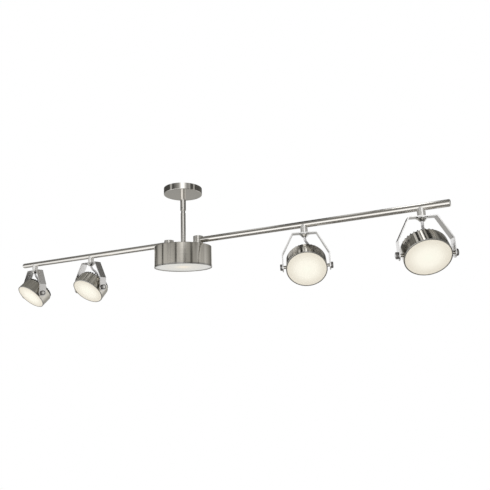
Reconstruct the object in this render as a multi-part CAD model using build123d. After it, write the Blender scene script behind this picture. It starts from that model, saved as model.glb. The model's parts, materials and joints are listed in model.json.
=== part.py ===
from build123d import *
import math
import os

# Ceiling light bar: a canopy and stem carry a round lamp drum, and two arms on swivel posts
# carry four adjustable lamp heads.
# Millimetres. The origin is the centre of the ceiling face of the canopy, +Z points up and
# the bars run along X. Left is -X and the front is -Y.

# Ceiling canopy and what it hides
CANOPY_D = 120.0
CANOPY_H = 20.0
CANOPY_WALL = 1.0
CANOPY_ROUND = 1.5
CANOPY_INNER_ROUND = 0.8
BRACKET_LENGTH = 104.0
BRACKET_WIDTH = 22.0
BRACKET_THICK = 2.0
BRACKET_CORNER = 4.0
BOX_SCREW_SPACING = 88.9
BOX_SLOT_LENGTH = 12.0
BOX_SLOT_WIDTH = 5.0
NIPPLE_D = 9.5
NIPPLE_BORE = 6.5
NIPPLE_LENGTH = 34.0
NIPPLE_NUT_ACROSS = 14.0
NIPPLE_NUT_H = 4.0
CONNECTOR_D = 9.0
CONNECTOR_TIP_D = 6.0
CONNECTOR_LENGTH = 17.0
CONNECTOR_SOCKET_D = 7.0
CONNECTOR_SOCKET_TIP_D = 3.0
CONNECTOR_SOCKET_LENGTH = 9.0
CONNECTOR_ROWS = (-20.0, -31.0, -42.0)
CONNECTOR_Z = -10.5

# Stem
SLEEVE_D = 17.4
SLEEVE_LENGTH = 52.0
STEM_CHAMFER = 0.6
TENON_D = 13.0
TENON_LENGTH = 32.0
NECK_LENGTH = 7.5
ROD_D = 15.2
ROD_BORE = 7.0
ROD_TAIL_D = 12.0
ROD_TAIL_LENGTH = 10.0
STEM_NUT_ACROSS = 19.0
STEM_NUT_H = 6.0
SET_SCREW_D = 4.0
SET_SCREW_UP = 7.0
SET_SCREW_ANGLE = -74.0
SET_SCREW_GROOVE_D = 10.4
SET_SCREW_GROOVE_H = 5.0
SET_SCREW_TIP_D = 3.0
SET_SCREW_RECESS = 0.4
SET_SCREW_KEY = 2.0
SET_SCREW_KEY_DEPTH = 1.2

# Drum
DRUM_D = 176.0
DRUM_TOP = -190.5
DRUM_H = 64.0
DRUM_WALL = 1.2
DRUM_PLATE = 1.5
DRUM_ROUND = 1.2
BEZEL_H = 3.7
BEZEL_GAP = 0.8
BEZEL_WIDTH = 3.5
BEZEL_SEAT = 1.0
BEZEL_LIP_D = 173.2
BEZEL_LIP_H = 8.0
DRUM_LENS_THICK = 3.0
DRUM_LENS_RECESS = 2.6
DRUM_LENS_PLAY = 0.2
BOARD_D = 140.0
BOARD_THICK = 1.6
BOARD_DROP = 36.0
BOARD_HOLE_D = 16.0
BOARD_CHIP_RINGS = ((28.0, 8), (60.0, 16))
STANDOFF_D = 6.0
STANDOFF_COUNT = 3
STANDOFF_RADIUS = 55.0
STANDOFF_START = 30.0
DRIVER_SIZE = (80.0, 36.0, 22.0)
DRIVER_Y = 38.0
DRIVER_CORNER = 3.0

# Swivel posts
POST_X = 54.5
POST_D = 30.0
POST_TOP = -162.0
POST_ROUND = 0.8
POST_BOLT_D = 10.0
POST_BOLT_BORE = 6.0
POST_BOLT_HEAD_ACROSS = 17.0
POST_BOLT_HEAD_H = 5.0
POST_BOLT_ENGAGE = 6.0
BUSHING_D = 16.0
BUSHING_FLANGE_D = 22.0
BUSHING_FLANGE_H = 1.5

# Bars
BAR_D = 18.0
BAR_WALL = 1.2
BAR_Z = -174.5
BAR_START = 4.0
BAR_END_X = 749.0
CAP_LENGTH = 5.0
CAP_ROUND = 4.0
CAP_PLUG_LENGTH = 9.0
HEAD_NEAR_X = 392.0
HEAD_FAR_X = 684.0

# Hub and collar that hold a yoke under the bar
HUB_D = 19.0
HUB_SPINDLE_D = 12.0
HUB_BORE = 8.0
HUB_SADDLE = 1.0
SPINDLE_GRIP = 5.7
YOKE_TOP_DROP = 23.2
COLLAR_D = 28.0
COLLAR_FLANGE_H = 2.0
COLLAR_STEP = 1.0
COLLAR_SHOULDER_D = 23.0
COLLAR_NOSE_D = 12.0
COLLAR_H = 9.5
COLLAR_EXIT_D = 8.0
COLLAR_MOUTH = 1.0

# Yoke
YOKE_THICK = 2.5
YOKE_WIDTH = 25.0
YOKE_FLAT_HALF = 32.0
YOKE_SPAN_HALF = 61.75
YOKE_SLANT_DROP = 57.0
YOKE_PIVOT_DROP = 90.5
YOKE_BEND_RADIUS = 2.0

# Lamp head, built facing straight down about its own pivot
HEAD_D = 108.0
HEAD_FRONT = -14.5
HEAD_BACK = 25.5
HEAD_WALL = 1.2
HEAD_BACK_ROUND = 2.5
RIM_H = 2.5
RIM_WIDTH = 2.8
RIM_SEAT = 0.8
RIM_LIP_H = 6.0
LENS_THICK = 2.5
LENS_RECESS = 1.0
LENS_PLAY = 0.1
BOSS_D = 8.5
BOSS_SEAT_D = 12.0
BOSS_SEAT_H = 3.5
MODULE_D = 88.0
MODULE_THICK = 2.0
MODULE_Z = 6.0
MODULE_POST_D = 7.0
MODULE_POST_RADIUS = 34.0
MODULE_POST_COUNT = 3
MODULE_POST_START = 90.0
MODULE_CHIP_RINGS = ((12.0, 6), (30.0, 12))
FIN_COUNT = 36
FIN_THICK = 2.4
FIN_H = 8.0
FIN_OUTER_D = 101.0
FIN_BEVEL = 2.0
FIN_INNER_D = 40.0
FIN_BOSS_D = 44.0
FIN_BOSS_H = 4.0
GLAND_D = 12.0
GLAND_H = 8.0
GLAND_BORE = 8.0
CHIP = 3.0
CHIP_H = 0.8

# Tilt knobs
KNOB_D = 17.0
KNOB_H = 6.0
KNOB_SHANK_D = 5.0
KNOB_SHANK_LENGTH = 9.0
KNOB_FLUTES = 18
KNOB_FLUTE_R = 0.55
KNOB_CHAMFER = 0.7
KNOB_GROOVE_D = 12.0
KNOB_GROOVE_INNER_D = 8.0
KNOB_GROOVE_DEPTH = 0.7

# Lead from a collar to the back of its head
LEAD_D = 7.0
LEAD_LEAN = 20.0
LEAD_DROP = 11.0
LEAD_STAND_OFF = 12.0
LEAD_INSIDE = 1.5
LEAD_BEND = ((17.0, -20.0), (29.0, -33.0))
CORNER_SHARE = 0.45

# Clearances, small edge chamfers and how far a cut runs past a face
FIT = 0.05
GAP = 0.3
EDGE_BREAK = 0.5
PAST = 1.0

# Where each head sits and points: place along the bar, turn of the yoke about the vertical,
# angle of the lens below the horizontal and how far its lead bows to the right
HEADS = {
    "far_left": (-HEAD_FAR_X, -9.0, 47.5, -8.0),
    "near_left": (-HEAD_NEAR_X, -2.0, 49.5, 6.0),
    "near_right": (HEAD_NEAR_X, 18.5, 41.0, 11.0),
    "far_right": (HEAD_FAR_X, 17.5, 47.5, 5.0),
}

SLEEVE_BOTTOM = -CANOPY_H - SLEEVE_LENGTH
ROD_SHOULDER = SLEEVE_BOTTOM - NECK_LENGTH
DRUM_BOTTOM = DRUM_TOP - DRUM_H
PLATE_UNDER = DRUM_TOP - DRUM_PLATE
BOARD_TOP = PLATE_UNDER - BOARD_DROP
POST_BOTTOM = DRUM_TOP + GAP
YOKE_TOP = BAR_Z - YOKE_TOP_DROP
COLLAR_TOP = YOKE_TOP - YOKE_THICK - GAP
COLLAR_BOTTOM = COLLAR_TOP - COLLAR_H
PIVOT_Z = YOKE_TOP - YOKE_PIVOT_DROP
YOKE_INSIDE = YOKE_SPAN_HALF - YOKE_THICK / 2
YOKE_OUTSIDE = YOKE_SPAN_HALF + YOKE_THICK / 2


def rod(diameter, low, high):
    """A solid cylinder about Z between two heights."""
    centre = (Align.CENTER, Align.CENTER, Align.MIN)
    return Pos(0, 0, low) * Cylinder(diameter / 2, high - low, align=centre)


def tube(outer, inner, low, high):
    """A round tube about Z between two heights."""
    return rod(outer, low, high) - rod(inner, low, high)


def cross_rod(diameter, start, end):
    """A solid cylinder about X between two places on X."""
    return Rot(0, 90, 0) * rod(diameter, start, end)


def hexagon(across, low, high):
    """A hexagonal prism about Z."""
    outline = RegularPolygon(across / 2, 6, major_radius=False)
    return Pos(0, 0, low) * extrude(outline, high - low)


def turned(points):
    """A closed outline of radius and height turned about Z."""
    outline = make_face(Plane.XZ * Polyline(*points, close=True))
    return revolve(outline, Axis.Z)


def save(name, *shapes):
    """Write one node, as one solid or as a group of solids."""
    node = shapes[0] if len(shapes) == 1 else Compound(children=list(shapes))
    node.label = name
    export_step(node, f"parts/{name}.step")


def canopy():
    """Spun cup with a rounded lower edge and a hole for the nipple."""
    cup = rod(CANOPY_D, -CANOPY_H, 0)
    cup = fillet(cup.edges().group_by(Axis.Z)[0], CANOPY_ROUND)
    inner = rod(CANOPY_D - 2 * CANOPY_WALL, -CANOPY_H + CANOPY_WALL, 0)
    inner = fillet(inner.edges().group_by(Axis.Z)[0], CANOPY_INNER_ROUND)
    return cup - inner - rod(NIPPLE_D + 2 * GAP, -CANOPY_H, 0)


def mounting_bracket():
    """Flat strap with two slots for the screws of a ceiling box."""
    bar = Pos(0, 0, -BRACKET_THICK / 2) * Box(BRACKET_LENGTH, BRACKET_WIDTH, BRACKET_THICK)
    bar = fillet(bar.edges().filter_by(Axis.Z), BRACKET_CORNER)
    slot = extrude(SlotOverall(BOX_SLOT_LENGTH, BOX_SLOT_WIDTH), BRACKET_THICK * 2, both=True)
    for side in (-1, 1):
        bar -= Pos(side * BOX_SCREW_SPACING / 2, 0, 0) * slot
    return bar - rod(NIPPLE_D, -BRACKET_THICK, 0)


def canopy_nipple():
    """Hollow threaded pipe from the bracket down into the stem sleeve."""
    pipe = tube(NIPPLE_D, NIPPLE_BORE, -NIPPLE_LENGTH - GAP, -GAP)
    return chamfer(pipe.edges().group_by(Axis.Z)[-1], EDGE_BREAK)


def canopy_nuts():
    """Two thin nuts: one clamps the bracket and one stands on the canopy floor."""
    nuts = []
    for top in (-BRACKET_THICK, -CANOPY_H + CANOPY_WALL + NIPPLE_NUT_H):
        nut = hexagon(NIPPLE_NUT_ACROSS, top - NIPPLE_NUT_H, top)
        nuts.append(nut - rod(NIPPLE_D, top - NIPPLE_NUT_H, top))
    return nuts


def wire_connectors():
    """Three twist-on connectors lying beside the bracket."""
    cone = Cone(CONNECTOR_D / 2, CONNECTOR_TIP_D / 2, CONNECTOR_LENGTH)
    socket = Cone(CONNECTOR_SOCKET_D / 2, CONNECTOR_SOCKET_TIP_D / 2, CONNECTOR_SOCKET_LENGTH)
    cone -= Pos(0, 0, (CONNECTOR_SOCKET_LENGTH - CONNECTOR_LENGTH) / 2) * socket
    return [Pos(0, row, CONNECTOR_Z) * Rot(0, 90, 0) * cone for row in CONNECTOR_ROWS]


def set_screw_place():
    """Frame on the stem axis at the set screw, with its Z pointing out along the screw."""
    return Pos(0, 0, SLEEVE_BOTTOM + SET_SCREW_UP) * Rot(0, 0, SET_SCREW_ANGLE) * Rot(0, 90, 0)


def stem_sleeve():
    """Upper tube that screws on the nipple and holds the tenon of the rod."""
    body = rod(SLEEVE_D, SLEEVE_BOTTOM, -CANOPY_H)
    body = chamfer(body.edges().group_by(Axis.Z)[0], STEM_CHAMFER)
    body -= rod(TENON_D + 2 * FIT, SLEEVE_BOTTOM, SLEEVE_BOTTOM + TENON_LENGTH + 2 * GAP)
    body -= rod(NIPPLE_D, SLEEVE_BOTTOM, -CANOPY_H)
    return body - set_screw_place() * rod(SET_SCREW_D, 0, SLEEVE_D)


def stem_set_screw():
    """Grub screw whose tip runs in the groove of the tenon and keeps the rod up."""
    tip = SET_SCREW_GROOVE_D / 2 + GAP
    head = SLEEVE_D / 2 - SET_SCREW_RECESS
    screw = rod(SET_SCREW_D, TENON_D / 2 + 4 * FIT, head)
    screw += rod(SET_SCREW_TIP_D, tip, TENON_D / 2 + 4 * FIT)
    return set_screw_place() * (screw - hexagon(SET_SCREW_KEY, head - SET_SCREW_KEY_DEPTH, head))


def stem_rod():
    """Lower tube with a tenon and neck above and a threaded tail through the drum."""
    body = rod(ROD_D, DRUM_TOP, ROD_SHOULDER)
    body = chamfer(body.edges().group_by(Axis.Z)[-1], STEM_CHAMFER)
    body += rod(TENON_D, ROD_SHOULDER, SLEEVE_BOTTOM + TENON_LENGTH)
    body += rod(ROD_TAIL_D, DRUM_TOP - ROD_TAIL_LENGTH, DRUM_TOP)
    middle = SLEEVE_BOTTOM + SET_SCREW_UP
    low = middle - SET_SCREW_GROOVE_H / 2
    body -= tube(TENON_D + PAST, SET_SCREW_GROOVE_D, low, low + SET_SCREW_GROOVE_H)
    return body - rod(ROD_BORE, DRUM_TOP - ROD_TAIL_LENGTH, SLEEVE_BOTTOM + TENON_LENGTH)


def stem_nut():
    """Nut under the top of the drum."""
    nut = hexagon(STEM_NUT_ACROSS, PLATE_UNDER - STEM_NUT_H, PLATE_UNDER)
    return nut - rod(ROD_TAIL_D, PLATE_UNDER - STEM_NUT_H, PLATE_UNDER)


def drum_housing():
    """Deep spun pan, open below, with holes for the stem and both post bushings."""
    low = DRUM_BOTTOM + BEZEL_H + BEZEL_GAP
    pan = rod(DRUM_D, low, DRUM_TOP)
    pan = fillet(pan.edges().group_by(Axis.Z)[-1], DRUM_ROUND)
    pan -= rod(DRUM_D - 2 * DRUM_WALL, low, PLATE_UNDER)
    pan -= rod(ROD_TAIL_D, PLATE_UNDER, DRUM_TOP)
    for side in (-1, 1):
        pan -= Pos(side * POST_X, 0, 0) * rod(BUSHING_D, PLATE_UNDER, DRUM_TOP)
    return pan


def drum_bezel():
    """Ring that carries the lens, with a lip up inside the housing."""
    outer = DRUM_D / 2
    inner = outer - BEZEL_WIDTH
    lip = BEZEL_LIP_D / 2
    shelf = DRUM_BOTTOM + DRUM_LENS_RECESS
    top = DRUM_BOTTOM + BEZEL_H
    seat = inner + BEZEL_SEAT
    ring = turned([
        (inner, DRUM_BOTTOM),
        (outer, DRUM_BOTTOM),
        (outer, top),
        (lip, top),
        (lip, top + BEZEL_LIP_H),
        (seat, top + BEZEL_LIP_H),
        (seat, shelf),
        (inner, shelf),
    ])
    return chamfer(ring.edges().group_by(Axis.Z)[0], EDGE_BREAK)


def drum_lens():
    """Frosted disc on the shelf of the bezel."""
    low = DRUM_BOTTOM + DRUM_LENS_RECESS
    radius = DRUM_D / 2 - BEZEL_WIDTH + BEZEL_SEAT - DRUM_LENS_PLAY
    return rod(2 * radius, low, low + DRUM_LENS_THICK)


def chips(face_z, rings):
    """Light-emitting chips under a board, as rings of (radius, count)."""
    chip = Pos(0, 0, face_z - CHIP_H / 2) * Box(CHIP, CHIP, CHIP_H)
    shapes = []
    for radius, count in rings:
        for place in PolarLocations(radius, count):
            shapes.append(place * chip)
    return shapes


def drum_led_board():
    """Round board with two rings of chips and a hole in the middle for the leads."""
    low = BOARD_TOP - BOARD_THICK
    board = tube(BOARD_D, BOARD_HOLE_D, low, BOARD_TOP)
    return board + chips(low, BOARD_CHIP_RINGS)


def drum_standoffs():
    """Pillars from the top of the drum down to the board."""
    pillar = rod(STANDOFF_D, BOARD_TOP, PLATE_UNDER)
    places = PolarLocations(STANDOFF_RADIUS, STANDOFF_COUNT, STANDOFF_START)
    return [place * pillar for place in places]


def drum_driver():
    """Power supply in a plastic case against the top of the drum."""
    length, width, height = DRIVER_SIZE
    case = Pos(0, DRIVER_Y, PLATE_UNDER - height / 2) * Box(length, width, height)
    return fillet(case.edges().filter_by(Axis.Z), DRIVER_CORNER)


def post_bushings():
    """Two flanged plastic bearings in the top of the drum."""
    bearing = rod(BUSHING_D, PLATE_UNDER, DRUM_TOP)
    bearing += rod(BUSHING_FLANGE_D, PLATE_UNDER - BUSHING_FLANGE_H, PLATE_UNDER)
    bearing -= rod(POST_BOLT_D + 2 * FIT, PLATE_UNDER - BUSHING_FLANGE_H, DRUM_TOP)
    return [Pos(side * POST_X, 0, 0) * bearing for side in (-1, 1)]


def swivel_post():
    """Right post: a round block with a socket for the bar and a way through for the leads."""
    block = rod(POST_D, POST_BOTTOM, POST_TOP)
    block = fillet(block.edges().group_by(Axis.Z)[-1], POST_ROUND)
    block -= Pos(0, 0, BAR_Z) * cross_rod(BAR_D, BAR_START, POST_D)
    block -= Pos(0, 0, BAR_Z) * cross_rod(BAR_D - 4 * BAR_WALL, -POST_BOLT_BORE, BAR_START)
    block -= rod(POST_BOLT_D, POST_BOTTOM, POST_BOTTOM + POST_BOLT_ENGAGE)
    block -= rod(POST_BOLT_BORE, POST_BOTTOM, BAR_Z)
    return Pos(POST_X, 0, 0) * block


def post_bolt():
    """Hollow bolt that turns with the right post and keeps it on the drum."""
    head_top = PLATE_UNDER - BUSHING_FLANGE_H - GAP
    bolt = hexagon(POST_BOLT_HEAD_ACROSS, head_top - POST_BOLT_HEAD_H, head_top)
    bolt += rod(POST_BOLT_D, head_top, POST_BOTTOM + POST_BOLT_ENGAGE)
    bolt -= rod(POST_BOLT_BORE, head_top - POST_BOLT_HEAD_H, POST_BOTTOM + POST_BOLT_ENGAGE)
    return Pos(POST_X, 0, 0) * bolt


def bar():
    """Right bar: a thin tube with a hole below for the lead of each head."""
    start = POST_X + BAR_START
    end = BAR_END_X - CAP_LENGTH
    pipe = cross_rod(BAR_D, start, end) - cross_rod(BAR_D - 2 * BAR_WALL, start, end)
    for place in (HEAD_NEAR_X, HEAD_FAR_X):
        pipe -= Pos(place, 0, 0) * rod(HUB_BORE, -BAR_D, 0)
    return Pos(0, 0, BAR_Z) * pipe


def bar_cap():
    """Right end cap: a rounded button with a plug inside the bar."""
    button = cross_rod(BAR_D, BAR_END_X - CAP_LENGTH, BAR_END_X)
    button = fillet(button.edges().group_by(Axis.X)[-1], CAP_ROUND)
    plug_end = BAR_END_X - CAP_LENGTH
    button += cross_rod(BAR_D - 2 * BAR_WALL, plug_end - CAP_PLUG_LENGTH, plug_end)
    return Pos(0, 0, BAR_Z) * button


def hubs():
    """Two hubs saddled to the right bar, each with a hollow spindle for a yoke."""
    low = YOKE_TOP + GAP
    body = rod(HUB_D, low, BAR_Z - HUB_SADDLE)
    body = chamfer(body.edges().group_by(Axis.Z)[0], EDGE_BREAK)
    body += rod(HUB_SPINDLE_D, COLLAR_TOP - SPINDLE_GRIP, low)
    body -= Pos(0, 0, BAR_Z) * cross_rod(BAR_D, -HUB_D, HUB_D)
    body -= rod(HUB_BORE, COLLAR_BOTTOM, BAR_Z)
    return [Pos(place, 0, 0) * body for place in (HEAD_NEAR_X, HEAD_FAR_X)]


def hub_collars():
    """Two flared nuts that hold the yokes up on the spindles of the right bar."""
    flange = COLLAR_TOP - COLLAR_FLANGE_H
    body = turned([
        (0, COLLAR_TOP),
        (COLLAR_D / 2, COLLAR_TOP),
        (COLLAR_D / 2, flange),
        (COLLAR_SHOULDER_D / 2, flange - COLLAR_STEP),
        (COLLAR_NOSE_D / 2, COLLAR_BOTTOM),
        (0, COLLAR_BOTTOM),
    ])
    body -= rod(HUB_SPINDLE_D, COLLAR_TOP - SPINDLE_GRIP, COLLAR_TOP)
    body -= rod(COLLAR_EXIT_D, COLLAR_BOTTOM, COLLAR_TOP)
    exit_radius = COLLAR_EXIT_D / 2
    centre = (Align.CENTER, Align.CENTER, Align.MIN)
    mouth = Cone(exit_radius + COLLAR_MOUTH, exit_radius, COLLAR_MOUTH, align=centre)
    body -= Pos(0, 0, COLLAR_BOTTOM) * mouth
    return [Pos(place, 0, 0) * body for place in (HEAD_NEAR_X, HEAD_FAR_X)]


def yoke():
    """Bent strap about the pan axis, with its flat top at YOKE_TOP and its arms along X."""
    half = YOKE_THICK / 2
    run = YOKE_SPAN_HALF - YOKE_FLAT_HALF
    foot = -YOKE_PIVOT_DROP - YOKE_WIDTH / 2
    right = [(YOKE_FLAT_HALF, -half), (YOKE_FLAT_HALF + run, -YOKE_SLANT_DROP)]
    right.append((YOKE_SPAN_HALF, foot))
    left = [(-x, z) for x, z in reversed(right)]
    line = Plane.XZ * Polyline(*left, *right)
    outline = offset(line, half, kind=Kind.INTERSECTION, side=Side.BOTH)
    strap = extrude(make_face(outline.edges()), YOKE_WIDTH / 2, both=True)
    bends = strap.edges().filter_by(Axis.Y)
    bends = bends.filter_by(lambda edge: edge.center().Z > foot + YOKE_THICK)
    strap = fillet(bends, YOKE_BEND_RADIUS)
    pivot = Pos(0, 0, -YOKE_PIVOT_DROP)
    body = Pos(0, 0, -YOKE_PIVOT_DROP / 2) * Box(4 * YOKE_SPAN_HALF, YOKE_WIDTH, YOKE_PIVOT_DROP)
    strap &= body + pivot * cross_rod(YOKE_WIDTH, -2 * YOKE_SPAN_HALF, 2 * YOKE_SPAN_HALF)
    strap -= rod(HUB_SPINDLE_D + 2 * FIT, -YOKE_THICK, 0)
    strap -= pivot * cross_rod(KNOB_SHANK_D + 2 * FIT, -YOKE_OUTSIDE - PAST, YOKE_OUTSIDE + PAST)
    return Pos(0, 0, YOKE_TOP) * strap


def cooling_fins():
    """Radial fins that stand on the back of a head, with bevelled outer corners."""
    low = HEAD_BACK - HEAD_WALL / 2
    high = HEAD_BACK + FIN_H
    inner = FIN_INNER_D / 2
    outer = FIN_OUTER_D / 2
    envelope = turned([
        (inner, low),
        (outer, low),
        (outer, high - FIN_BEVEL),
        (outer - FIN_BEVEL, high),
        (inner, high),
    ])
    plate = Box(outer, FIN_THICK, high - low, align=(Align.MIN, Align.CENTER, Align.MIN))
    plates = [place * Pos(0, 0, low) * plate for place in PolarLocations(0, FIN_COUNT)]
    return envelope & Compound(plates)


def head_shell():
    """Round can facing down, with two pivot bosses, fins on its back and a gland for the lead."""
    low = HEAD_FRONT + RIM_H
    can = rod(HEAD_D, low, HEAD_BACK)
    can = fillet(can.edges().group_by(Axis.Z)[-1], HEAD_BACK_ROUND)
    can += cross_rod(BOSS_D, -YOKE_INSIDE + GAP, YOKE_INSIDE - GAP)
    can += rod(FIN_BOSS_D, HEAD_BACK - HEAD_WALL, HEAD_BACK + FIN_BOSS_H)
    can += rod(GLAND_D, HEAD_BACK - HEAD_WALL, HEAD_BACK + GLAND_H)
    can += cooling_fins()
    inside = HEAD_D - 2 * HEAD_WALL
    cavity = rod(inside, low, HEAD_BACK - HEAD_WALL)
    cavity = fillet(cavity.edges().group_by(Axis.Z)[-1], HEAD_BACK_ROUND - HEAD_WALL)
    can -= cavity
    inner = HEAD_D / 2 - HEAD_WALL / 2
    can += cross_rod(BOSS_SEAT_D, inner - BOSS_SEAT_H, inner)
    can += cross_rod(BOSS_SEAT_D, -inner, BOSS_SEAT_H - inner)
    can -= cross_rod(KNOB_SHANK_D + 2 * FIT, -YOKE_SPAN_HALF, YOKE_SPAN_HALF)
    return can - rod(GLAND_BORE, MODULE_Z, HEAD_BACK + GLAND_H)


def head_rim():
    """Front ring that carries the lens, with a lip up inside the can."""
    outer = HEAD_D / 2
    inner = outer - RIM_WIDTH
    lip = outer - HEAD_WALL
    top = HEAD_FRONT + RIM_H
    shelf = HEAD_FRONT + LENS_RECESS
    seat = inner + RIM_SEAT
    ring = turned([
        (inner, HEAD_FRONT),
        (outer, HEAD_FRONT),
        (outer, top),
        (lip, top),
        (lip, top + RIM_LIP_H),
        (seat, top + RIM_LIP_H),
        (seat, shelf),
        (inner, shelf),
    ])
    return chamfer(ring.edges().group_by(Axis.Z)[0].sort_by(SortBy.LENGTH)[-1], EDGE_BREAK)


def head_lens():
    """Frosted disc on the shelf of the rim."""
    low = HEAD_FRONT + LENS_RECESS
    radius = HEAD_D / 2 - RIM_WIDTH + RIM_SEAT - LENS_PLAY
    return rod(2 * radius, low, low + LENS_THICK)


def head_led_module():
    """Heat spreader with chips below and posts up to the back of the can."""
    module = rod(MODULE_D, MODULE_Z - MODULE_THICK, MODULE_Z)
    post = rod(MODULE_POST_D, MODULE_Z, HEAD_BACK - HEAD_WALL)
    for place in PolarLocations(MODULE_POST_RADIUS, MODULE_POST_COUNT, MODULE_POST_START):
        module += place * post
    return module + chips(MODULE_Z - MODULE_THICK, MODULE_CHIP_RINGS)


def tilt_knob():
    """Right thumb screw: fluted disc outside the yoke and a shank into the boss."""
    low = YOKE_OUTSIDE + GAP
    high = low + KNOB_H
    disc = rod(KNOB_D, low, high)
    disc = chamfer(disc.edges(), KNOB_CHAMFER)
    flute = rod(2 * KNOB_FLUTE_R, low, high)
    for place in PolarLocations(KNOB_D / 2, KNOB_FLUTES):
        disc -= place * flute
    disc -= tube(KNOB_GROOVE_D, KNOB_GROOVE_INNER_D, high - KNOB_GROOVE_DEPTH, high)
    disc += rod(KNOB_SHANK_D, low - KNOB_SHANK_LENGTH, low)
    return Rot(0, 90, 0) * disc


def corner_radii(points):
    """The largest arcs that neighbouring runs of a route leave room for, one for each corner."""
    radii = []
    for before, corner, after in zip(points, points[1:], points[2:]):
        run = min((corner - before).length, (after - corner).length)
        turn = (corner - before).get_angle(after - corner)
        radii.append(CORNER_SHARE * run / math.tan(math.radians(turn / 2)))
    return radii


def lead(tilt, bow):
    """Flexible lead from inside the nose of the collar to inside the gland, about the pan axis."""
    slope = math.radians(tilt)
    lean = math.radians(LEAD_LEAN)
    aim = Vector(0, -math.cos(slope), -math.sin(slope))
    start = Vector(0, 0, COLLAR_BOTTOM + LEAD_INSIDE)
    end = Vector(0, 0, PIVOT_Z) - aim * (HEAD_BACK + GLAND_H - LEAD_INSIDE)
    bend = [start + Vector(bow, y, z) for y, z in LEAD_BEND]
    leave = start + Vector(0, math.sin(lean), -math.cos(lean)) * LEAD_DROP
    points = [start, leave, *bend, end - aim * LEAD_STAND_OFF, end]
    radii = corner_radii(points)
    print("lead arcs", [round(radius, 1) for radius in radii])
    path = FilletPolyline(*points, radius=radii)
    ring = Plane(path @ 0, z_dir=path % 0) * Circle(LEAD_D / 2)
    return sweep(ring, path)


def save_centre():
    """Nodes of the canopy, the stem and the drum."""
    save("canopy", canopy())
    save("mounting_bracket", mounting_bracket())
    save("canopy_nipple", canopy_nipple())
    save("canopy_nuts", *canopy_nuts())
    save("wire_connectors", *wire_connectors())
    save("stem_sleeve", stem_sleeve())
    save("stem_set_screw", stem_set_screw())
    save("stem_rod", stem_rod())
    save("stem_nut", stem_nut())
    save("drum_housing", drum_housing())
    save("drum_bezel", drum_bezel())
    save("drum_lens", drum_lens())
    save("drum_led_board", drum_led_board())
    save("drum_standoffs", *drum_standoffs())
    save("drum_driver", drum_driver())
    save("post_bushings", *post_bushings())


def save_arm(name, turn):
    """Nodes of one arm; the left arm is the right one turned half a turn."""
    place = Rot(0, 0, turn)
    save(f"{name}_swivel_post", place * swivel_post())
    save(f"{name}_post_bolt", place * post_bolt())
    save(f"{name}_bar", place * bar())
    save(f"{name}_bar_cap", place * bar_cap())
    save(f"{name}_hubs", *[place * hub for hub in hubs()])
    save(f"{name}_hub_collars", *[place * collar for collar in hub_collars()])


def save_head(name, along, pan, tilt, lead_bow):
    """Nodes of one lamp head in its resting direction."""
    pan_frame = Pos(along, 0, 0) * Rot(0, 0, pan)
    head_frame = pan_frame * Pos(0, 0, PIVOT_Z) * Rot(tilt - 90, 0, 0)
    save(f"{name}_yoke", pan_frame * yoke())
    save(f"{name}_lead", pan_frame * lead(tilt, lead_bow))
    save(f"{name}_head_shell", head_frame * head_shell())
    save(f"{name}_head_rim", head_frame * head_rim())
    save(f"{name}_head_lens", head_frame * head_lens())
    save(f"{name}_led_module", head_frame * head_led_module())
    save(f"{name}_right_knob", head_frame * tilt_knob())
    save(f"{name}_left_knob", head_frame * Rot(0, 0, 180) * tilt_knob())


os.makedirs("parts", exist_ok=True)
save_centre()
save_arm("right", 0)
save_arm("left", 180)
for head_name, setting in HEADS.items():
    save_head(head_name, *setting)
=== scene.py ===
import json
import math

import bmesh
import bpy
from mathutils import Matrix, Vector


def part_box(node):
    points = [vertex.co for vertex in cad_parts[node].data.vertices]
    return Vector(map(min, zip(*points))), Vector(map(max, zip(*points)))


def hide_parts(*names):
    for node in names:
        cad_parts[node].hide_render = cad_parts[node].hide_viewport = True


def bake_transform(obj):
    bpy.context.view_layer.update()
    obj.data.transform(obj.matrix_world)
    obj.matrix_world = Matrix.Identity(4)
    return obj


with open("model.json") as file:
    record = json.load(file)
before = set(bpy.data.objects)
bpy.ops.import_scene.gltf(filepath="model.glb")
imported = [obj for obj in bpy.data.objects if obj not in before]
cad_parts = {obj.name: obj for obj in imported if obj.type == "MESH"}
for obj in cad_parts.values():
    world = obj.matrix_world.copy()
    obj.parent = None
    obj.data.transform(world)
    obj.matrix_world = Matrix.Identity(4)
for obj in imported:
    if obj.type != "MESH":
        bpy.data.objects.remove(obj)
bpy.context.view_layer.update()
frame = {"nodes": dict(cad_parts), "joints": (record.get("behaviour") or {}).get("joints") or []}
NODES = frame["nodes"]
JOINTS = {joint["name"]: joint for joint in frame["joints"]}
HEAD_NAMES = ("far_left", "near_left", "near_right", "far_right")

MM = 0.001

# Camera: place in metres, turn about the vertical, upward tilt and roll in radians, lens in mm
CAMERA_PLACE = (0.7193, -1.0316, -0.4418)
CAMERA_TURN = 0.456
CAMERA_UP = 0.200
CAMERA_ROLL = -0.037
CAMERA_LENS = 30.0049
CAMERA_SENSOR = 36.0
CAMERA_CLIP = (0.02, 100.0)
FLOOR_Z = -2.1
FLOOR_RADIUS = 2.2
FLOOR_SIDES = 96
FLOOR_COLOUR = (0.74, 0.73, 0.71, 1.0)


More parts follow.
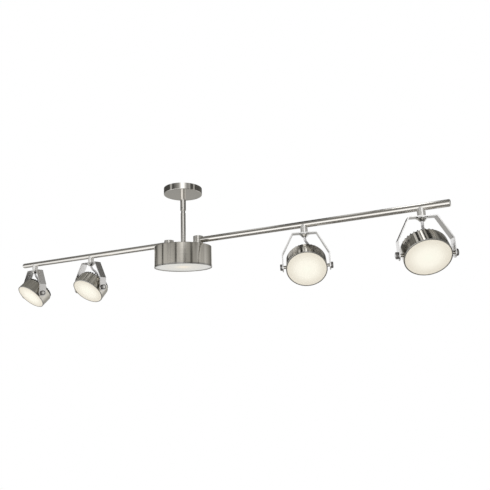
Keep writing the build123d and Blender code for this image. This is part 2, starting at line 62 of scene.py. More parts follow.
# ---------------------------------------------------------------- node helpers
class Tree:
    """A short way to write a node tree."""

    def __init__(self, tree):
        self.tree = tree
        self.tree.nodes.clear()

    def node(self, kind, **settings):
        made = self.tree.nodes.new(kind)
        for key, value in settings.items():
            setattr(made, key, value)
        return made

    def feed(self, socket, value):
        if isinstance(value, bpy.types.NodeSocket):
            self.tree.links.new(value, socket)
        elif value is not None:
            socket.default_value = value

    def math(self, operation, a, b=None):
        made = self.node("ShaderNodeMath", operation=operation)
        for socket, value in zip(made.inputs, (a, b)):
            self.feed(socket, value)
        return made.outputs[0]

    def vector(self, operation, a, b=None):
        made = self.node("ShaderNodeVectorMath", operation=operation)
        self.feed(made.inputs[0], a)
        self.feed(made.inputs[1], b)
        return made.outputs["Value" if operation == "DOT_PRODUCT" else "Vector"]

    def weighted(self, *pairs):
        """The sum of values, each times its share."""
        parts = [self.math("MULTIPLY", value, share) for value, share in pairs]
        total = parts[0]
        for part in parts[1:]:
            total = self.math("ADD", total, part)
        return total

    def split(self, vector):
        made = self.node("ShaderNodeSeparateXYZ")
        self.feed(made.inputs[0], vector)
        return made.outputs

    def join(self, x, y, z):
        made = self.node("ShaderNodeCombineXYZ")
        for socket, value in zip(made.inputs, (x, y, z)):
            self.feed(socket, value)
        return made.outputs[0]

    def noise(self, vector, scale, detail, rough):
        made = self.node("ShaderNodeTexNoise")
        self.feed(made.inputs["Vector"], vector)
        made.inputs["Scale"].default_value = scale
        made.inputs["Detail"].default_value = detail
        made.inputs["Roughness"].default_value = rough
        return made.outputs["Fac"]

    def ramp(self, factor, stops, smooth="LINEAR"):
        made = self.node("ShaderNodeValToRGB")
        self.feed(made.inputs[0], factor)
        band = made.color_ramp
        band.interpolation = smooth
        while len(band.elements) > 1:
            band.elements.remove(band.elements[-1])
        for index, (place, colour) in enumerate(stops):
            if not hasattr(colour, "__len__"):
                colour = (colour, colour, colour)
            stop = band.elements[0] if index == 0 else band.elements.new(place)
            stop.position = place
            stop.color = (*colour, 1.0)
        return made.outputs[0]

    def mix(self, factor, a, b, blend="MIX"):
        made = self.node("ShaderNodeMix", data_type="RGBA", blend_type=blend)
        self.feed(made.inputs["Factor"], factor)
        for socket, value in ((made.inputs[6], a), (made.inputs[7], b)):
            if not isinstance(value, bpy.types.NodeSocket):
                value = (*value, 1.0)
            self.feed(socket, value)
        return made.outputs[2]

    def range(self, value, low, high, to_low, to_high):
        made = self.node("ShaderNodeMapRange")
        for socket, item in zip(made.inputs, (value, low, high, to_low, to_high)):
            self.feed(socket, item)
        return made.outputs[0]

    def step(self, value, place, half):
        """A rise from 0 to 1 about a place."""
        return self.range(value, place - half, place + half, 0.0, 1.0)

    def bump(self, height, strength, distance):
        made = self.node("ShaderNodeBump")
        made.inputs["Strength"].default_value = strength
        made.inputs["Distance"].default_value = distance
        self.feed(made.inputs["Height"], height)
        return made.outputs[0]


def new_material(name):
    made = bpy.data.materials.new(name)
    made.use_nodes = True
    tree = Tree(made.node_tree)
    shader = tree.node("ShaderNodeBsdfPrincipled")
    out = tree.node("ShaderNodeOutputMaterial")
    made.node_tree.links.new(shader.outputs[0], out.inputs[0])
    return made, tree, shader


def object_place(tree):
    return tree.node("ShaderNodeTexCoord").outputs["Object"]


def local_place(tree, axes):
    """Coordinates of a piece in its own frame: axes is that frame's matrix in the row frame."""
    coordinates = object_place(tree)
    back = axes.inverted()
    parts = []
    for i in range(3):
        dot = tree.vector("DOT_PRODUCT", coordinates, tuple(back[i][:3]))
        parts.append(tree.math("ADD", dot, back[i][3]))
    return tree.join(*parts), parts


def around(tree, parts):
    """Radius and angle about the local Z axis."""
    x, y = parts[:2]
    square = tree.math("ADD", tree.math("MULTIPLY", x, x), tree.math("MULTIPLY", y, y))
    return tree.math("SQRT", square), tree.math("ARCTAN2", y, x)


def world_direction(tree, vector):
    """A direction of the row frame, turned with the piece."""
    change = tree.node(
        "ShaderNodeVectorTransform", vector_type="VECTOR", convert_from="OBJECT", convert_to="WORLD"
    )
    tree.feed(change.inputs[0], vector)
    return tree.vector("NORMALIZE", change.outputs[0])


def tinted(colour, factor):
    return tuple(min(1.0, channel * factor) for channel in colour)


# -------------------------------------------------------------- colours of the finishes
NICKEL = (0.69, 0.67, 0.635)
# Painted highlight: a lighter copy of the nickel for the yokes
YOKE_NICKEL_HIGHLIGHT = (0.83, 0.82, 0.815)
# Painted shade: a darker copy of the nickel for the dark outline of each head's rim
RIM_NICKEL_SHADE = (0.52, 0.51, 0.49)
SHELL_NICKEL = (0.80, 0.78, 0.735)
# Painted shade: a darker copy of the nickel for the dark line between drum and lens
BEZEL_NICKEL_SHADE = (0.44, 0.43, 0.41)
# Painted highlight: a lighter copy of the nickel for the hubs and collars
HUB_NICKEL_HIGHLIGHT = (0.95, 0.94, 0.92)
POLISH = (0.78, 0.77, 0.75)
# Painted shade: a dark copy of the polished metal for the ring round a knob's grip
KNOB_GRIP_SHADE = (0.30, 0.29, 0.28)
# Painted shade: the finned back of each head is coloured near black
FIN_PAINTED_SHADE = (0.085, 0.083, 0.078)
ZINC = (0.62, 0.63, 0.65)
BLACK_OXIDE = (0.03, 0.03, 0.03)
NYLON_BLACK = (0.04, 0.04, 0.04)
CONNECTOR_YELLOW = (0.72, 0.46, 0.04)
DRIVER_GREY = (0.82, 0.82, 0.80)
BOARD_WHITE = (0.86, 0.86, 0.82)
SHEATH_SILVER = (0.96, 0.95, 0.96)
ACRYLIC = (0.42, 0.41, 0.38)

# Glow of the lenses, from the middle to the rim
DRUM_GLOW = 0.76
DRUM_GLOW_STOPS = (
    (0.0, (1.0, 0.89, 0.73)),
    (0.4, (0.715, 0.70, 0.66)),
    (1.0, (0.655, 0.66, 0.655)),
)
DRUM_LENS_RADIUS = 86.0 * MM
HEAD_GLOW = 0.72
HEAD_GLOW_STOPS = (
    (0.0, (1.0, 1.0, 0.86)),
    (0.35, (1.0, 0.96, 0.83)),
    (1.0, (0.74, 0.68, 0.56)),
)
HEAD_LENS_RADIUS = 52.0 * MM

# ------------------------------------------------------------------ patterns of the finishes
# Noise patterns, as scale, detail and roughness
HAIRLINES = (1.0, 3.0, 0.6)
BROAD_LINES = (1.0, 2.0, 0.5)
METAL_CLOUDS = (18.0, 3.0, 0.55)
# Noise of the painted reflection bands, wide and narrow
WIDE_BANDS = (5.0, 1.0, 0.5)
NARROW_BANDS = (21.0, 2.0, 0.6)
PLATE_CLOUDS = (60.0, 4.0, 0.6)
PLATE_HAIRS = (1.0, 2.0, 0.5)
KNOB_SCUFFS = (400.0, 3.0, 0.6)
KNOB_TURNING = (1.0, 2.0, 0.5)
PLASTIC_CLOUDS = (45.0, 3.0, 0.5)
LENS_CLOUDS = (22.0, 2.0, 0.5)
LENS_FROST = (2600.0, 2.0, 0.6)
# Ranges of those patterns, as from low and from high, with to low and to high where they are fixed
LINE_TONES = (0.32, 0.68, 0.0, 1.0)
STAIN_TONES = (0.45, 0.75, 0.0, 0.35)
# Painted highlight: convex edges, by their pointiness, are made lighter
EDGE_HIGHLIGHT_RANGE = (0.52, 0.60, 0.0, 0.2)
PLATE_TONES = (0.35, 0.7, 0.0, 1.0)
PLASTIC_TONES = (0.35, 0.7, 0.0, 0.8)
WIDE_TONES = (0.40, 0.60)
NARROW_TONES = (0.38, 0.62)
# Changes per metre across the brushed lines, per metre along them, and per radian round a ring
FINE_LINES = 1300.0
BROAD_RINGS = 210.0
ALONG_LINES = 2.0
ROUND_RINGS = 0.22
BROAD_OVER_FINE = 6.0
# How much darker or lighter lines and stains are than the metal, and how much lighter the painted
# highlight on convex edges is
LINE_DARK = 0.90
LINE_LIGHT = 1.05
STAIN_TINT = (1.01, 0.98, 0.93)
EDGE_PAINTED_HIGHLIGHT = 1.25
BAND_TINT = (1.0, 0.985, 0.95)
# Shares of the fine and broad lines in the tone and in the relief
TONE_SHARES = (0.6, 0.4)
RELIEF_SHARES = (0.7, 0.3)
# Change of roughness by the lines and by the clouds, and the level that balances them
LINE_ROUGH = 0.08
CLOUD_ROUGH = 0.04
EVEN_ROUGH = 0.06
RELIEF = 0.02
TUBE_RELIEF = 0.004
RELIEF_DEPTH = 0.3 * MM
PORE_DEPTH = 0.2 * MM
SPUN_ANISOTROPY = 0.7
QUARTER_TURN = 0.25
# Where the fins of a head begin, along its axis, and how much rougher they are
FINS_FROM = 25.5 * MM
FINS_EDGE = 0.2 * MM
FINS_ROUGH = 0.2
# Strength of the painted dark reflection bands on each head's shell and on the drum
SHELL_REFLECTION_BANDS = {"far_left": 0.16, "near_left": 0.08, "near_right": 0.27, "far_right": 0.36}
DRUM_REFLECTION_BANDS = 0.12


def finish_metal(tree, shader, colour, fine, broad, place, rough, relief):
    """Colour, roughness and hairline relief of a brushed metal, with a painted highlight on its
    convex edges.
    """
    hairs = tree.noise(fine, *HAIRLINES)
    streaks = tree.noise(broad, *BROAD_LINES)
    cloud = tree.noise(place, *METAL_CLOUDS)
    tone = tree.weighted((hairs, TONE_SHARES[0]), (streaks, TONE_SHARES[1]))
    dark, light = tinted(colour, LINE_DARK), tinted(colour, LINE_LIGHT)
    base = tree.mix(tree.range(tone, *LINE_TONES), dark, light)
    stain = tuple(channel * tint for channel, tint in zip(colour, STAIN_TINT))
    base = tree.mix(tree.range(cloud, *STAIN_TONES), base, stain)
    # Painted highlight: the metal is lighter along its sharp convex edges
    edge = tree.node("ShaderNodeNewGeometry").outputs["Pointiness"]
    base = tree.mix(tree.range(edge, *EDGE_HIGHLIGHT_RANGE), base, tinted(colour, EDGE_PAINTED_HIGHLIGHT))
    spread = tree.weighted((tone, LINE_ROUGH), (cloud, CLOUD_ROUGH))
    spread = tree.math("ADD", spread, rough - EVEN_ROUGH)
    shader.inputs["Metallic"].default_value = 1.0
    tree.feed(shader.inputs["Base Color"], base)
    tree.feed(shader.inputs["Roughness"], spread)
    height = tree.weighted((hairs, RELIEF_SHARES[0]), (streaks, RELIEF_SHARES[1]))
    tree.feed(shader.inputs["Normal"], tree.bump(height, relief, RELIEF_DEPTH))
    return base, spread


def stretch_gloss(tree, shader, line, amount):
    """Highlights drawn out across the brushed lines."""
    tree.feed(shader.inputs["Tangent"], world_direction(tree, line))
    shader.inputs["Anisotropic"].default_value = amount
    shader.inputs["Anisotropic Rotation"].default_value = QUARTER_TURN


def painted_reflection_bands(tree, base, parts, radius, depth):
    """Painted reflections: soft dark bands that run along the turned wall."""
    ring = tree.join(*[tree.math("DIVIDE", part, radius) for part in parts[:2]], 0.0)
    wide = tree.range(tree.noise(ring, *WIDE_BANDS), *WIDE_TONES, 1.0 - depth, 1.0)
    narrow = tree.range(tree.noise(ring, *NARROW_BANDS), *NARROW_TONES, 1.0 - depth, 1.0)
    shade = tree.math("MULTIPLY", wide, narrow)
    tint = tree.join(*[tree.math("MULTIPLY", shade, channel) for channel in BAND_TINT])
    return tree.mix(1.0, base, tint, "MULTIPLY")


def spun(name, axes, colour, rough=0.14, relief=RELIEF, bands=0.0, fins_from=None):
    """Metal brushed round the local Z axis, with painted shade making it dark, and rougher, above a
    height where it is finned.
    """
    made, tree, shader = new_material(name)
    place, parts = local_place(tree, axes)
    x, y, height = parts
    radius, angle = around(tree, parts)
    turn = tree.math("MULTIPLY", angle, ROUND_RINGS)

    def rings(density):
        return tree.join(
            tree.math("MULTIPLY", radius, density), turn, tree.math("MULTIPLY", height, density)
        )

    lines = (rings(FINE_LINES), rings(BROAD_RINGS), place)
    base, spread = finish_metal(tree, shader, colour, *lines, rough, relief)
    # Painted reflections: soft dark bands along the turned wall
    if bands:
        base = painted_reflection_bands(tree, base, parts, radius, bands)
        tree.feed(shader.inputs["Base Color"], base)
    # Painted shade: dark colour above the height where the back is finned
    if fins_from is not None:
        fins = tree.step(height, fins_from, FINS_EDGE)
        tree.feed(shader.inputs["Base Color"], tree.mix(fins, base, FIN_PAINTED_SHADE))
        rougher = tree.math("ADD", spread, tree.math("MULTIPLY", fins, FINS_ROUGH))
        tree.feed(shader.inputs["Roughness"], rougher)
    tangent = tree.join(tree.math("MULTIPLY", y, -1.0), x, 0.0)
    rows = [tuple(axes.to_3x3()[i]) for i in range(3)]
    turned = tree.join(*[tree.vector("DOT_PRODUCT", tangent, row) for row in rows])
    stretch_gloss(tree, shader, turned, SPUN_ANISOTROPY)
    return made


def linished(name, axes, colour, density, line_axis, rough, anisotropy, relief=RELIEF):
    """Metal brushed in straight lines, with their changes per metre along local X, Y and Z."""
    made, tree, shader = new_material(name)
    place, _ = local_place(tree, axes)
    fine = tree.vector("MULTIPLY", place, density)
    broad = tree.vector("MULTIPLY", place, tuple(value / BROAD_OVER_FINE for value in density))
    finish_metal(tree, shader, colour, fine, broad, place, rough, relief)
    stretch_gloss(tree, shader, tree.join(*(axes.to_3x3() @ Vector(line_axis))), anisotropy)
    return made


PLATE_DARK = 0.88
PLATE_HAIR_DENSITY = (900.0, 60.0, 300.0)
PLATE_HAIR_ROUGH = 0.10
PLATE_CLOUD_ROUGH = 0.06
PLATE_RELIEF = 0.05


def polished(name, colour, rough):
    """Polished plate with faint hairline scratches."""
    made, tree, shader = new_material(name)
    place = object_place(tree)
    cloud = tree.noise(place, *PLATE_CLOUDS)
    hair = tree.noise(tree.vector("MULTIPLY", place, PLATE_HAIR_DENSITY), *PLATE_HAIRS)
    base = tree.mix(tree.range(cloud, *PLATE_TONES), colour, tinted(colour, PLATE_DARK))
    tree.feed(shader.inputs["Base Color"], base)
    shader.inputs["Metallic"].default_value = 1.0
    spread = tree.weighted((hair, PLATE_HAIR_ROUGH), (cloud, PLATE_CLOUD_ROUGH))
    tree.feed(shader.inputs["Roughness"], tree.math("ADD", spread, rough - EVEN_ROUGH))
    tree.feed(shader.inputs["Normal"], tree.bump(hair, PLATE_RELIEF, RELIEF_DEPTH))
    return made


KNOB_GRIP_FROM = 5.2 * MM
KNOB_GRIP_EDGE = 0.3 * MM
KNOB_DARK = 0.86
GRIP_DARK = 0.6
KNOB_ROUGH = 0.10
SCUFF_ROUGH = 0.12
GRIP_ROUGH = 0.12
TURNING_LINES = 2500.0
TURNING_RELIEF = 0.06


def knob_metal(name, axes):
    """Polished screw head with a fluted grip painted dark as shade: the local X axis runs through
    the screw.
    """
    made, tree, shader = new_material(name)
    place, parts = local_place(tree, axes)
    away, angle = around(tree, parts[1:])
    grip = tree.step(away, KNOB_GRIP_FROM, KNOB_GRIP_EDGE)
    scuff = tree.noise(place, *KNOB_SCUFFS)
    bright = tree.mix(scuff, POLISH, tinted(POLISH, KNOB_DARK))
    # Painted shade on the grip, varied by random scuffs
    dark = tree.mix(scuff, KNOB_GRIP_SHADE, tinted(KNOB_GRIP_SHADE, GRIP_DARK))
    tree.feed(shader.inputs["Base Color"], tree.mix(grip, bright, dark))
    shader.inputs["Metallic"].default_value = 1.0
    spread = tree.weighted((scuff, SCUFF_ROUGH), (grip, GRIP_ROUGH))
    tree.feed(shader.inputs["Roughness"], tree.math("ADD", spread, KNOB_ROUGH))
    turning = tree.join(tree.math("MULTIPLY", away, TURNING_LINES), angle, 0.0)
    turning = tree.noise(turning, *KNOB_TURNING)
    tree.feed(shader.inputs["Normal"], tree.bump(turning, TURNING_RELIEF, PORE_DEPTH))
    return made


PORE_DETAIL = 2.0
PORE_ROUGHNESS = 0.5
PORE_ROUGH = 0.15
PORE_EVEN = 0.07
PORE_RELIEF = 0.15
PLASTIC_DARK = 0.85


def plastic(name, colour, rough, grain=1400.0, metal=0.0):
    """Moulded or painted surface with a fine grain."""
    made, tree, shader = new_material(name)
    place = object_place(tree)
    cloud = tree.noise(place, *PLASTIC_CLOUDS)
    pores = tree.noise(place, grain, PORE_DETAIL, PORE_ROUGHNESS)
    base = tree.mix(tree.range(cloud, *PLASTIC_TONES), colour, tinted(colour, PLASTIC_DARK))
    tree.feed(shader.inputs["Base Color"], base)
    shader.inputs["Metallic"].default_value = metal
    spread = tree.math("ADD", tree.math("MULTIPLY", pores, PORE_ROUGH), rough - PORE_EVEN)
    tree.feed(shader.inputs["Roughness"], spread)
    tree.feed(shader.inputs["Normal"], tree.bump(pores, PORE_RELIEF, PORE_DEPTH))
    return made


GLOW_CLOUD = 0.12
FROST_ROUGH = 0.2
LENS_ROUGH = 0.4
LENS_GLOSS = 0.25
FROST_RELIEF = 0.05


def diffuser(name, axes, radius, stops, strength):
    """Frosted acrylic lit from behind, with a faint cloudy fall-off from its middle to its rim."""
    made, tree, shader = new_material(name)
    place, parts = local_place(tree, axes)
    away, _ = around(tree, parts)
    cloud = tree.math("SUBTRACT", tree.noise(place, *LENS_CLOUDS), 0.5)
    share = tree.math("DIVIDE", away, radius)
    share = tree.math("ADD", share, tree.math("MULTIPLY", cloud, GLOW_CLOUD))
    frost = tree.noise(place, *LENS_FROST)
    shader.inputs["Base Color"].default_value = (*ACRYLIC, 1.0)
    tree.feed(shader.inputs["Emission Color"], tree.ramp(share, stops, "EASE"))
    shader.inputs["Emission Strength"].default_value = strength
    spread = tree.math("ADD", tree.math("MULTIPLY", frost, FROST_ROUGH), LENS_ROUGH)
    tree.feed(shader.inputs["Roughness"], spread)
    shader.inputs["Specular IOR Level"].default_value = LENS_GLOSS
    tree.feed(shader.inputs["Normal"], tree.bump(frost, FROST_RELIEF, PORE_DEPTH))
    return made


# ---------------------------------------------------------------- finish of each piece
SHARP_ANGLE = math.radians(32.0)


def paint_node(node, material):
    mesh = NODES[node].data
    mesh.materials.clear()
    mesh.materials.append(material)


def smooth_node(node):
    mesh = NODES[node].data
    mesh.polygons.foreach_set("use_smooth", [True] * len(mesh.polygons))
    mesh.set_sharp_from_angle(angle=SHARP_ANGLE)


def head_axes(name):
    """Frame of a head at rest: Z out of its back, X along the pivot."""
    joint = JOINTS[f"{name}_tilt"]
    across = Vector(joint["axis"]).normalized()
    level_to_rest = math.radians(-joint["range_deg"][0])
    front = Vector((across.y, -across.x, 0.0))
    aim = front * math.cos(level_to_rest) + Vector((0, 0, -math.sin(level_to_rest)))
    up = -aim
    made = Matrix((across, up.cross(across), up)).transposed().to_4x4()
    made.translation = Vector(joint["pos_m"])
    return made


def yoke_axes(name):
    joint = JOINTS[f"{name}_tilt"]
    made = Matrix.Rotation(math.atan2(joint["axis"][1], joint["axis"][0]), 4, "Z")
    made.translation = Vector(joint["pos_m"])
    return made


def post_axes(side):
    return Matrix.Translation(Vector(JOINTS[f"{side}_arm_swing"]["pos_m"]))


def bar_axes(side):
    low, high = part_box(f"{side}_bar")
    return Matrix.Translation((low + high) / 2)


def paint_centre():
    """Canopy, stem and drum."""
    upright = Matrix.Identity(4)
    paint_node("canopy", spun("nickel_canopy", upright, NICKEL, rough=0.11))
    for node in ("stem_sleeve", "stem_rod"):
        paint_node(node, spun(f"nickel_{node}", upright, NICKEL, rough=0.11, relief=TUBE_RELIEF))
    drum = spun("nickel_drum_housing", upright, NICKEL, rough=0.11, bands=DRUM_REFLECTION_BANDS)
    paint_node("drum_housing", drum)
    # Painted shade: the bezel takes the darker copy of the nickel
    paint_node("drum_bezel", spun("nickel_drum_bezel", upright, BEZEL_NICKEL_SHADE, rough=0.16))
    zinc = plastic("zinc_plate", ZINC, rough=0.32, grain=900.0, metal=1.0)
    for node in ("mounting_bracket", "canopy_nipple", "canopy_nuts", "stem_nut", "drum_standoffs",
                 "left_post_bolt", "right_post_bolt"):
        paint_node(node, zinc)
    oxide = plastic("black_oxide", BLACK_OXIDE, rough=0.4, grain=900.0, metal=1.0)
    paint_node("stem_set_screw", oxide)
    paint_node("wire_connectors", plastic("connector_yellow", CONNECTOR_YELLOW, rough=0.4))
    paint_node("drum_driver", plastic("driver_case", DRIVER_GREY, rough=0.5))
    paint_node("post_bushings", plastic("nylon_black", NYLON_BLACK, rough=0.5))
    lens = diffuser("lens_drum", upright, DRUM_LENS_RADIUS, DRUM_GLOW_STOPS, DRUM_GLOW)
    paint_node("drum_lens", lens)


def paint_arm(side, polish):
    """Post, bar, hubs and collars of one arm."""
    middle = bar_axes(side)
    paint_node(f"{side}_swivel_post", spun(f"nickel_{side}_post", post_axes(side), NICKEL))
    lengthwise = (ALONG_LINES, FINE_LINES, FINE_LINES)
    tube = linished(f"nickel_{side}_bar", middle, NICKEL, lengthwise, (1, 0, 0),
                    rough=0.15, anisotropy=0.5, relief=TUBE_RELIEF)
    paint_node(f"{side}_bar", tube)
    paint_node(f"{side}_bar_cap", tube)
    level = (ALONG_LINES, ALONG_LINES, FINE_LINES)
    # Painted highlight: the hubs take the lighter copy of the nickel
    hubs = linished(f"nickel_{side}_hubs", middle, HUB_NICKEL_HIGHLIGHT, level, (0, 0, 1),
                    rough=0.28, anisotropy=0.0)
    paint_node(f"{side}_hubs", hubs)
    paint_node(f"{side}_hub_collars", polish)


def paint_head(name, board):
    """Yoke, shell, rim, lens and thumb screws of one head."""
    axes = head_axes(name)
    lengthwise = (ALONG_LINES, FINE_LINES, ALONG_LINES)
    # Painted highlight: the yoke takes the lighter copy of the nickel
    strap = linished(f"nickel_{name}_yoke", yoke_axes(name), YOKE_NICKEL_HIGHLIGHT, lengthwise, (0, 0, 1),
                     rough=0.24, anisotropy=0.3)
    paint_node(f"{name}_yoke", strap)
    shell = spun(f"nickel_{name}_shell", axes, SHELL_NICKEL, bands=SHELL_REFLECTION_BANDS[name],
                 fins_from=FINS_FROM)
    paint_node(f"{name}_head_shell", shell)
    # Painted shade: the rim takes the darker copy of the nickel
    paint_node(f"{name}_head_rim", spun(f"nickel_{name}_rim", axes, RIM_NICKEL_SHADE, rough=0.22))
    paint_node(f"{name}_led_module", board)
    knob = knob_metal(f"polished_{name}_knob", axes)
    paint_node(f"{name}_left_knob", knob)
    paint_node(f"{name}_right_knob", knob)
    lens = diffuser(f"lens_{name}", axes, HEAD_LENS_RADIUS, HEAD_GLOW_STOPS, HEAD_GLOW)
    paint_node(f"{name}_head_lens", lens)


# Painted highlight: the collars take the lighter copy of the nickel
polished_nickel = polished("polished_nickel", HUB_NICKEL_HIGHLIGHT, rough=0.22)
board_white = plastic("board_white", BOARD_WHITE, rough=0.35)
paint_node("drum_led_board", board_white)
paint_centre()
for arm in ("left", "right"):
    paint_arm(arm, polished_nickel)
for head in HEAD_NAMES:
    paint_head(head, board_white)
for node in NODES:
    smooth_node(node)


# ------------------------------------------------------------------------ leads
LEAD_RADIUS = 3.5 * MM
LEAD_LEAN = 20.0
LEAD_DROP = 11.0 * MM
LEAD_STAND_OFF = 12.0 * MM
LEAD_INSIDE = 1.5 * MM
LEAD_BEND = ((17.0 * MM, -20.0 * MM), (29.0 * MM, -33.0 * MM))
LEAD_BOW = {
    "far_left": -8.0 * MM,
    "near_left": 6.0 * MM,
    "near_right": 11.0 * MM,
    "far_right": 5.0 * MM,
}
GLAND_TOP = 33.5 * MM
LEAD_SIDES = 24
LEAD_RIB = 1.6 * MM
LEAD_RIB_DEPTH = 0.05
# Steps of a lead's smooth curve between each pair of its control points
LEAD_STEPS = 60
LEAD_SHARP_ANGLE = math.radians(60.0)


def lead_points(name):
    """Control points of a lead, from inside the nose of its collar to inside the gland."""
    axes = head_axes(name)
    across = axes.col[0].to_3d()
    back = axes.col[2].to_3d()
    rear = Vector((-across.y, across.x, 0.0))
    side = name.split("_")[1]
    collar_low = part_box(f"{side}_hub_collars")[0].z
    hub = Vector(JOINTS[f"{name}_pan"]["pos_m"])
    start = Vector((hub.x, hub.y, collar_low + LEAD_INSIDE))
    end = axes.translation + back * (GLAND_TOP - LEAD_INSIDE)
    lean = math.radians(LEAD_LEAN)
    leave = start + (rear * math.sin(lean) - Vector((0, 0, math.cos(lean)))) * LEAD_DROP
    bend = [start + across * LEAD_BOW[name] + rear * y + Vector((0, 0, z)) for y, z in LEAD_BEND]
    return [start, leave, *bend, end + back * LEAD_STAND_OFF, end]


def smooth_line(points):
    """Points along the smooth curve that a route controls."""
    curve = bpy.data.curves.new("route", "CURVE")
    curve.dimensions = "3D"
    spline = curve.splines.new("NURBS")
    spline.points.add(len(points) - 1)
    for target, point in zip(spline.points, points):
        target.co = (*point, 1.0)
    spline.order_u = 3
    spline.use_endpoint_u = True
    spline.resolution_u = LEAD_STEPS
    holder = bpy.data.objects.new("route", curve)
    mesh = bpy.data.meshes.new_from_object(holder)
    line = [vertex.co.copy() for vertex in mesh.vertices]
    bpy.data.objects.remove(holder)
    bpy.data.curves.remove(curve)
    bpy.data.meshes.remove(mesh)
    return line


def ring_of_points(shape, centre, side, other, radius):
    ring = []
    for k in range(LEAD_SIDES):
        angle = 2 * math.pi * k / LEAD_SIDES
        offset = side * math.cos(angle) + other * math.sin(angle)
        ring.append(shape.verts.new(centre + offset * radius))
    return ring


def sheath_mesh(name, spine):
    """A finely ribbed tube, closed at both ends, along a line of points."""
    shape = bmesh.new()
    rings = []
    last = len(spine) - 1
    side = Vector((1, 0, 0))
    along = 0.0
    for i, point in enumerate(spine):
        before = spine[max(i - 1, 0)]
        heading = (spine[min(i + 1, last)] - before).normalized()
        side = (side - heading * side.dot(heading)).normalized()
        along += (point - before).length
        wave = (1 - math.cos(2 * math.pi * along / LEAD_RIB)) / 2
        radius = LEAD_RADIUS * (1 - LEAD_RIB_DEPTH * wave)
        rings.append(ring_of_points(shape, point, side, heading.cross(side), radius))
    for one, two in zip(rings, rings[1:]):
        for k in range(LEAD_SIDES):
            n = (k + 1) % LEAD_SIDES
            shape.faces.new((one[k], one[n], two[n], two[k]))
    shape.faces.new(list(reversed(rings[0])))
    shape.faces.new(rings[-1])
    bmesh.ops.recalc_face_normals(shape, faces=shape.faces)
    mesh = bpy.data.meshes.new(name)
    shape.to_mesh(mesh)
    shape.free()
    mesh.polygons.foreach_set("use_smooth", [True] * len(mesh.polygons))
    mesh.set_sharp_from_angle(angle=LEAD_SHARP_ANGLE)
    return mesh, along


def make_lead(name, material):
    """The flexible sheath from a collar to the gland of its head."""
    spine = smooth_line(lead_points(name))
    mesh, length = sheath_mesh(f"{name}_lead_sheath", spine)
    mesh.materials.append(material)
    made = bpy.data.objects.new(f"{name}_lead_sheath", mesh)
    bpy.context.scene.collection.objects.link(made)
    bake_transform(made)
    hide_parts(f"{name}_lead")


sheath = plastic("silver_sheath", SHEATH_SILVER, rough=0.30, grain=800.0, metal=0.2)
for head in HEAD_NAMES:
    make_lead(head, sheath)


# ----------------------------------------------------------------------- studio
def floor():
    """A round pale floor, plain white to the camera."""
    mesh = bpy.data.meshes.new("studio_floor")
    rim = []
    for k in range(FLOOR_SIDES):
        angle = 2 * math.pi * k / FLOOR_SIDES
        rim.append((FLOOR_RADIUS * math.cos(angle), FLOOR_RADIUS * math.sin(angle), FLOOR_Z))
    mesh.from_pydata(rim, [], [tuple(range(FLOOR_SIDES))])
    made = bpy.data.objects.new("studio_floor", mesh)
    bpy.context.scene.collection.objects.link(made)
    material = bpy.data.materials.new("pale_floor")
    material.use_nodes = True
    tree = Tree(material.node_tree)
    out = tree.node("ShaderNodeOutputMaterial")
    plain = tree.node("ShaderNodeBsdfDiffuse")
    plain.inputs["Color"].default_value = FLOOR_COLOUR
    white = tree.node("ShaderNodeEmission")
    seen = tree.node("ShaderNodeLightPath").outputs["Is Camera Ray"]
    mix = tree.node("ShaderNodeMixShader")
    tree.feed(mix.inputs[0], seen)
    tree.feed(mix.inputs[1], plain.outputs[0])
    tree.feed(mix.inputs[2], white.outputs[0])
    tree.feed(out.inputs[0], mix.outputs[0])
    mesh.materials.append(material)


# Share that red, green and blue lose in the dark
WARMTH = (0.0, 0.02, 0.09)


def studio_grey(value):
    """A grey of the studio: the darker it is, the warmer."""
    dark = max(0.0, 1.0 - value)
    return tuple(value * (1 - loss * dark) for loss in WARMTH)


# Brightness of the studio by compass angle, where -90 is the front, 0 the right and 90 the back,
# in three belts: below the fixture, level with it, and above it
BELOW = (
    (-180, 0.50), (-165, 0.65), (-150, 1.10), (-125, 1.45), (-80, 1.45), (-60, 1.10), (-45, 0.50),
    (-25, 0.30), (0, 0.32), (20, 0.85), (65, 0.85), (85, 0.50), (95, 0.40), (148, 0.40),
    (155, 0.15), (170, 0.30), (180, 0.50),
)
LEVEL = (
    (-180, 0.25), (-170, 0.60), (-150, 0.70), (-146, 0.10), (-142, 0.10), (-138, 0.58),
    (-115, 0.66), (-90, 0.48), (-87, 0.06), (-82, 0.06), (-80, 0.68), (-58, 0.62), (-54, 0.14),
    (-46, 0.16), (-42, 0.42), (-30, 0.40), (-27, 0.08), (-21, 0.08), (-18, 0.42), (0, 0.60),
    (6, 0.98), (12, 0.58), (31, 0.56), (42, 0.82), (55, 0.52), (80, 0.20), (93, 0.16), (97, 0.95),
    (148, 0.95), (152, 0.06), (168, 0.10), (180, 0.25),
)
ABOVE = (
    (-180, 0.07), (-141, 0.08), (-135, 0.55), (-127, 0.55), (-122, 0.07), (-114, 0.09), (-96, 0.26),
    (-80, 0.44), (-73, 0.80), (-66, 1.60), (-57, 1.90), (-49, 1.50), (-38, 0.60), (-28, 0.34),
    (-13, 0.50), (-9, 0.08), (8, 0.08), (11, 0.56), (17, 0.56), (20, 0.08), (60, 0.10), (82, 0.14),
    (120, 0.10), (150, 0.10), (180, 0.07),
)
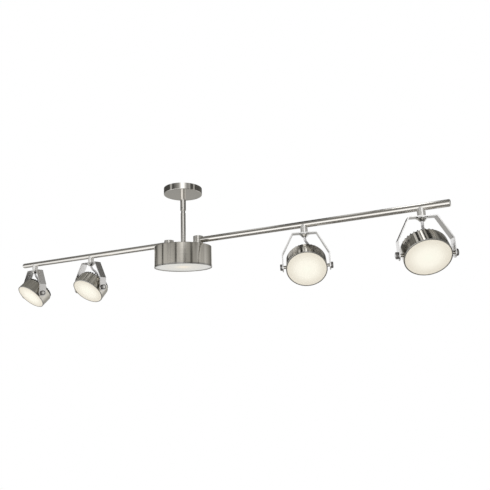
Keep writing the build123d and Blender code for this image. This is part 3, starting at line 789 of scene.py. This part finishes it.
# Panels straight above, by their angle to the left or right of the fixture
OVERHEAD = (
    (-90, 0.25), (-66, 0.22), (-45, 0.22), (-33, 0.30), (-28, 0.04), (-27, 0.80), (-22, 0.80),
    (-21, 0.03), (-14, 0.03), (-13, 0.80), (-9, 0.80), (-8, 0.02), (-6, 0.02), (-5, 2.40),
    (-1, 2.40), (0, 0.02), (4, 0.02), (5, 0.50), (8, 0.50), (9, 0.03), (19, 0.03), (20, 0.60),
    (24, 0.60), (25, 0.04), (28, 0.30), (32, 0.42), (38, 0.42), (40, 0.25), (60, 0.36), (90, 0.40),
)
# Brightness of the ceiling before and behind those panels
CEILING_FRONT = 0.24
CEILING_REAR = 0.12
# Heights in degrees over which one belt gives way to the next, and the span of the panels overhead
LEVEL_FROM = (3.0, 7.0)
ABOVE_FROM = (11.5, 13.5)
TOP_FROM = (22.0, 28.0)
PANELS_FRONT = (-18.0, -12.0)
PANELS_REAR = (33.0, 38.0)
# Least upward share of a direction, so that no angle overhead divides by zero
LEAST_UP = 0.001


def belt(tree, share, stops):
    """Tones at their angles, spread over a share from 0 to 1."""
    first = stops[0][0]
    span = stops[-1][0] - first
    tones = [((angle - first) / span, studio_grey(value)) for angle, value in stops]
    return tree.ramp(share, tones)


def studio_world():
    """A studio wrapped round the object: belts of soft panels and strips overhead, white behind."""
    world = bpy.data.worlds.new("studio")
    bpy.context.scene.world = world
    world.use_nodes = True
    tree = Tree(world.node_tree)
    out = tree.node("ShaderNodeOutputWorld")
    direction = tree.node("ShaderNodeTexCoord").outputs["Generated"]
    x, y, z = tree.split(direction)
    height = tree.math("DEGREES", tree.math("ARCSINE", z))
    compass = tree.math("ADD", tree.math("DIVIDE", tree.math("ARCTAN2", y, x), 2 * math.pi), 0.5)

    def above(value, limits):
        return tree.range(value, limits[0], limits[1], 0.0, 1.0)

    up = tree.math("MAXIMUM", z, LEAST_UP)
    lean = tree.math("ADD", tree.math("DIVIDE", tree.math("ARCTAN2", x, up), math.pi), 0.5)
    depth = tree.math("DEGREES", tree.math("ARCTAN2", y, up))
    inside = tree.math("SUBTRACT", above(depth, PANELS_FRONT), above(depth, PANELS_REAR))
    front, rear = studio_grey(CEILING_FRONT), studio_grey(CEILING_REAR)
    plain = tree.mix(above(depth, PANELS_FRONT), front, rear)
    top = tree.mix(inside, plain, belt(tree, lean, OVERHEAD))
    colour = belt(tree, compass, BELOW)
    colour = tree.mix(above(height, LEVEL_FROM), colour, belt(tree, compass, LEVEL))
    colour = tree.mix(above(height, ABOVE_FROM), colour, belt(tree, compass, ABOVE))
    colour = tree.mix(above(height, TOP_FROM), colour, top)
    seen = tree.node("ShaderNodeLightPath").outputs["Is Camera Ray"]
    colour = tree.mix(seen, colour, (1.0, 1.0, 1.0))
    background = tree.node("ShaderNodeBackground")
    tree.feed(background.inputs[0], colour)
    tree.feed(out.inputs[0], background.outputs[0])


def camera():
    """The photograph's view."""
    made = bpy.data.objects.new("camera", bpy.data.cameras.new("camera"))
    made.data.sensor_width = CAMERA_SENSOR
    made.data.lens = CAMERA_LENS
    made.data.clip_start, made.data.clip_end = CAMERA_CLIP
    turn, up, roll = CAMERA_TURN, CAMERA_UP, CAMERA_ROLL
    ahead = Vector((-math.sin(turn) * math.cos(up), math.cos(turn) * math.cos(up), math.sin(up)))
    right = Vector((math.cos(turn), math.sin(turn), 0.0))
    above = right.cross(ahead)
    right_rolled = right * math.cos(roll) + above * math.sin(roll)
    above_rolled = right_rolled.cross(ahead)
    axes = Matrix((right_rolled, above_rolled, -ahead)).transposed().to_4x4()
    axes.translation = Vector(CAMERA_PLACE)
    made.matrix_world = axes
    bpy.context.scene.collection.objects.link(made)
    bpy.context.scene.camera = made


floor()
studio_world()
camera()
bpy.context.scene.view_settings.view_transform = "Standard"
